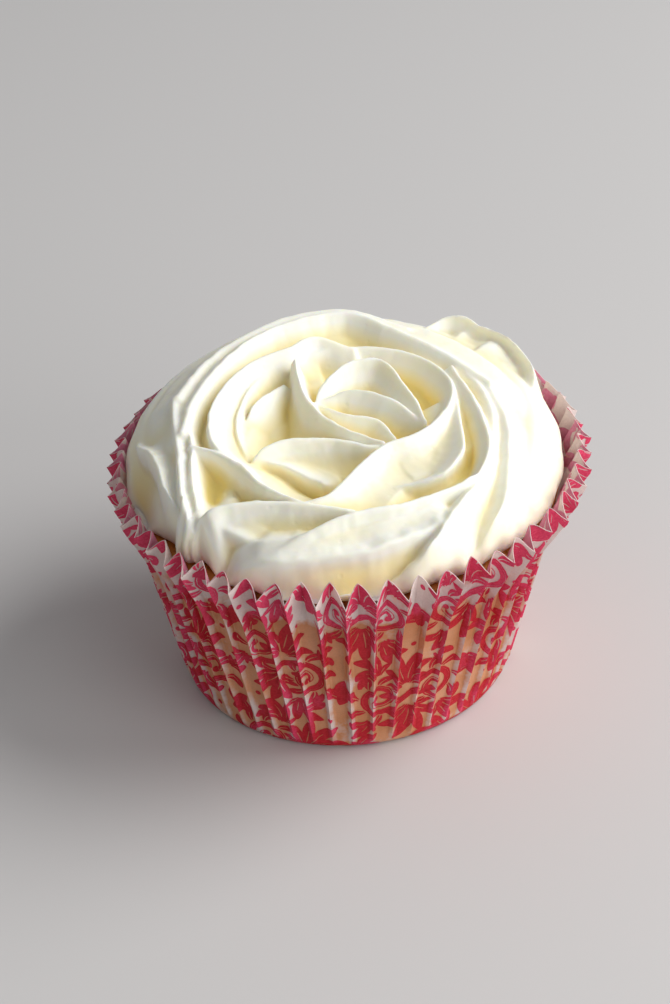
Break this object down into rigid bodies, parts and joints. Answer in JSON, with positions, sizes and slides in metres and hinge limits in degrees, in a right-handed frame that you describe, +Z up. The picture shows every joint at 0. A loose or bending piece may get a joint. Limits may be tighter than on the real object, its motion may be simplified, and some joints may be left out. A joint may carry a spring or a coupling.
{
  "type": "cupcake",
  "caption": "Vanilla cupcake in a pleated paper case printed with crimson scrolling leaves, topped with a piped ivory buttercream rose.",
  "frame": {"origin": "centre of the underside of the paper case", "axes": "+Z up out of the cake, +X to the right and -Y towards the side where the piped rope ends"},
  "size_m": [0.07, 0.0719, 0.0456],
  "materials": {
    "case_paper": "thin printed baking paper",
    "baked_sponge": "browned open crumb",
    "buttercream": "smooth satin icing"
  },
  "bodies": {
    "root": {"paper_case": "case_paper", "sponge": "baked_sponge", "buttercream": "buttercream"}
  },
  "joints": []
}
